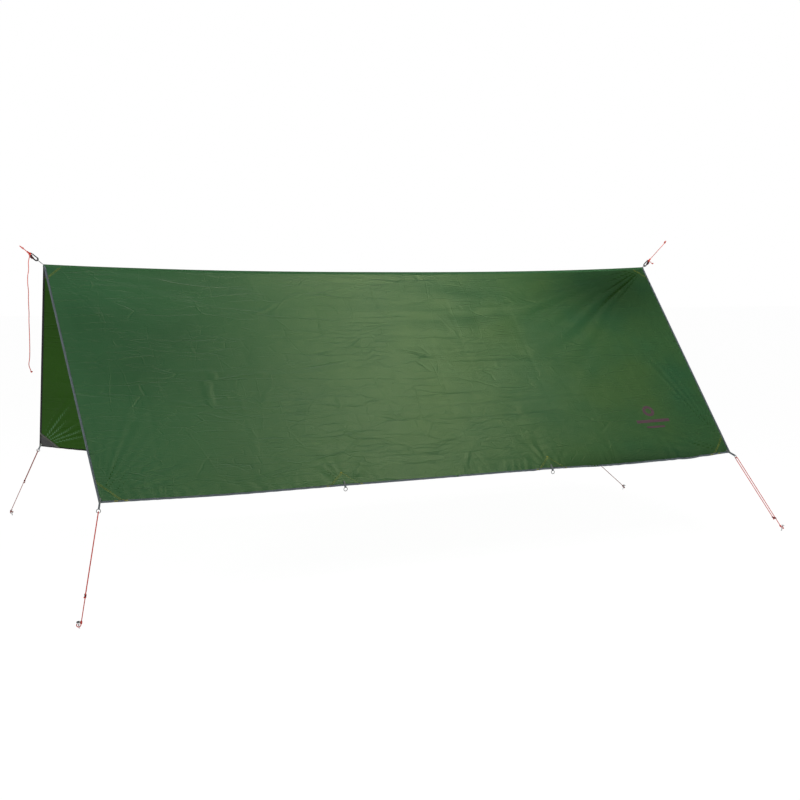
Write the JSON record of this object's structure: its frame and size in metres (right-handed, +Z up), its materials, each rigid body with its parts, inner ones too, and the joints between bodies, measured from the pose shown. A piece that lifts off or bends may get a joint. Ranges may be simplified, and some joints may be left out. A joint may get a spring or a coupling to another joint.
{
  "type": "tarp shelter",
  "caption": "Ridge-hung rectangular tarp shelter: two sloping cloth panels with bound edges, corner rings, pegged guy lines with tensioners, and hooks for the ridge lines.",
  "frame": {"origin": "middle of the ridge axis, on the seam's centre line", "axes": "+X along the ridge to the right, -Y towards the front panel, +Z up; the ground lies 1.5 m below the origin"},
  "size_m": [4.0099, 2.5389, 1.7924],
  "materials": {
    "cloth": "coated ripstop weave, slight sheen",
    "binding": "matt woven tape",
    "seam": "folded and double-stitched cloth",
    "patch": "matt coated cloth",
    "webbing": "ribbed webbing",
    "thin_loop": "thin braided cord",
    "ring": "plain bright steel",
    "cord": "braided cord",
    "tensioner": "anodised, satin",
    "peg": "plain, satin",
    "hook": "black, satin",
    "pin": "plain"
  },
  "bodies": {
    "ridge": {"left_gate_pin": "pin", "left_ridge_hook": "hook", "left_ridge_line": "cord", "left_ridge_loop": "thin_loop", "left_ridge_tail": "cord", "ridge_seam": "seam", "right_gate_pin": "pin", "right_ridge_hook": "hook", "right_ridge_line": "cord", "right_ridge_loop": "thin_loop", "right_ridge_tail": "cord"},
    "front_side": {"front_panel": "cloth", "front_binding": "binding", "front_hem_loop_1": "webbing", "front_hem_loop_2": "webbing", "front_hem_patch_1": "patch", "front_hem_patch_2": "patch", "front_left_corner_loop": "webbing", "front_left_corner_patch": "patch", "front_left_ridge_patch": "patch", "front_right_corner_loop": "webbing", "front_right_corner_patch": "patch", "front_right_ridge_patch": "patch"},
    "back_side": {"back_panel": "cloth", "back_binding": "binding", "back_hem_loop_1": "webbing", "back_hem_loop_2": "webbing", "back_hem_patch_1": "patch", "back_hem_patch_2": "patch", "back_left_corner_loop": "webbing", "back_left_corner_patch": "patch", "back_left_ridge_patch": "patch", "back_right_corner_loop": "webbing", "back_right_corner_patch": "patch", "back_right_ridge_patch": "patch"},
    "front_left_guy": {"front_left_corner_ring": "ring", "front_left_guy_line": "cord"},
    "front_left_slider": {"front_left_tensioner": "tensioner"},
    "front_left_stake": {"front_left_peg": "peg"},
    "front_right_guy": {"front_right_corner_ring": "ring", "front_right_guy_line": "cord"},
    "front_right_slider": {"front_right_tensioner": "tensioner"},
    "front_right_stake": {"front_right_peg": "peg"},
    "back_left_guy": {"back_left_corner_ring": "ring", "back_left_guy_line": "cord"},
    "back_left_slider": {"back_left_tensioner": "tensioner"},
    "back_left_stake": {"back_left_peg": "peg"},
    "back_right_guy": {"back_right_corner_ring": "ring", "back_right_guy_line": "cord"},
    "back_right_slider": {"back_right_tensioner": "tensioner"},
    "back_right_stake": {"back_right_peg": "peg"},
    "front_tie_1": {"front_hem_ring_1": "ring"},
    "front_tie_2": {"front_hem_ring_2": "ring"},
    "back_tie_1": {"back_hem_ring_1": "ring"},
    "back_tie_2": {"back_hem_ring_2": "ring"},
    "left_gate": {"left_hook_gate": "hook"},
    "right_gate": {"right_hook_gate": "hook"}
  },
  "joints": [
    {"name": "front_panel_lift", "type": "hinge", "parent": "ridge", "child": "front_side", "pos_m": [0, 0, 0], "axis": [-1, 0, 0], "range_deg": [0, 45]},
    {"name": "back_panel_lift", "type": "hinge", "parent": "ridge", "child": "back_side", "pos_m": [0, 0, 0], "axis": [1, 0, 0], "range_deg": [0, 45]},
    {"name": "front_left_guy_swing", "type": "hinge", "parent": "front_side", "child": "front_left_guy", "pos_m": [-1.73058, -0.95704, -1.05368], "axis": [-0.9678, 0.145, 0.2055], "range_deg": [0, 60]},
    {"name": "front_left_tensioner_slide", "type": "slide", "parent": "front_left_guy", "child": "front_left_slider", "axis": [0.2498, 0.4588, 0.8527], "range_m": [0, 0.2]},
    {"name": "front_left_peg_pull", "type": "slide", "parent": "front_left_guy", "child": "front_left_stake", "axis": [-0.1636, -0.3004, 0.9397], "range_m": [0, 0.12]},
    {"name": "front_right_guy_swing", "type": "hinge", "parent": "front_side", "child": "front_right_guy", "pos_m": [1.74476, -0.95185, -1.0473], "axis": [-0.6977, -0.4656, -0.5445], "range_deg": [0, 60]},
    {"name": "front_right_tensioner_slide", "type": "slide", "parent": "front_right_guy", "child": "front_right_slider", "axis": [-0.6181, 0.0069, 0.7861], "range_m": [0, 0.2]},
    {"name": "front_right_peg_pull", "type": "slide", "parent": "front_right_guy", "child": "front_right_stake", "axis": [0.342, -0.0038, 0.9397], "range_m": [0, 0.12]},
    {"name": "back_left_guy_swing", "type": "hinge", "parent": "back_side", "child": "back_left_guy", "pos_m": [-1.72928, 0.95778, -1.05334], "axis": [0.9492, -0.0248, -0.3137], "range_deg": [0, 60]},
    {"name": "back_left_tensioner_slide", "type": "slide", "parent": "back_left_guy", "child": "back_left_slider", "axis": [0.231, -0.6221, 0.7481], "range_m": [0, 0.2]},
    {"name": "back_left_peg_pull", "type": "slide", "parent": "back_left_guy", "child": "back_left_stake", "axis": [-0.119, 0.3206, 0.9397], "range_m": [0, 0.12]},
    {"name": "back_right_guy_swing", "type": "hinge", "parent": "back_side", "child": "back_right_guy", "pos_m": [1.75148, 0.86573, -1.10386], "axis": [0.2869, -0.5497, 0.7845], "range_deg": [0, 60]},
    {"name": "back_right_tensioner_slide", "type": "slide", "parent": "back_right_guy", "child": "back_right_slider", "axis": [-0.4572, 0.6411, 0.6164], "range_m": [0, 0.2]},
    {"name": "back_right_peg_pull", "type": "slide", "parent": "back_right_guy", "child": "back_right_stake", "axis": [0.1986, -0.2785, 0.9397], "range_m": [0, 0.12]},
    {"name": "front_hem_ring_1_swing", "type": "hinge", "parent": "front_side", "child": "front_tie_1", "pos_m": [-0.57567, -0.92666, -1.05197], "axis": [1, 0, 0], "range_deg": [-80, 80]},
    {"name": "front_hem_ring_2_swing", "type": "hinge", "parent": "front_side", "child": "front_tie_2", "pos_m": [0.57567, -0.92666, -1.05197], "axis": [1, 0, 0], "range_deg": [-80, 80]},
    {"name": "back_hem_ring_1_swing", "type": "hinge", "parent": "back_side", "child": "back_tie_1", "pos_m": [-0.57567, 0.7949, -1.15475], "axis": [1, 0, 0], "range_deg": [-80, 80]},
    {"name": "back_hem_ring_2_swing", "type": "hinge", "parent": "back_side", "child": "back_tie_2", "pos_m": [0.57567, 0.76072, -1.17755], "axis": [1, 0, 0], "range_deg": [-80, 80]},
    {"name": "left_gate_open", "type": "hinge", "parent": "ridge", "child": "left_gate", "pos_m": [-1.84811, 0, 0.05016], "axis": [0, 1, 0], "range_deg": [0, 20], "stiffness_Nm_per_rad": 0.02, "springref_deg": -11.46},
    {"name": "right_gate_open", "type": "hinge", "parent": "ridge", "child": "right_gate", "pos_m": [1.83079, 0, 0.03897], "axis": [0, -1, 0], "range_deg": [0, 20], "stiffness_Nm_per_rad": 0.02, "springref_deg": -11.46}
  ]
}
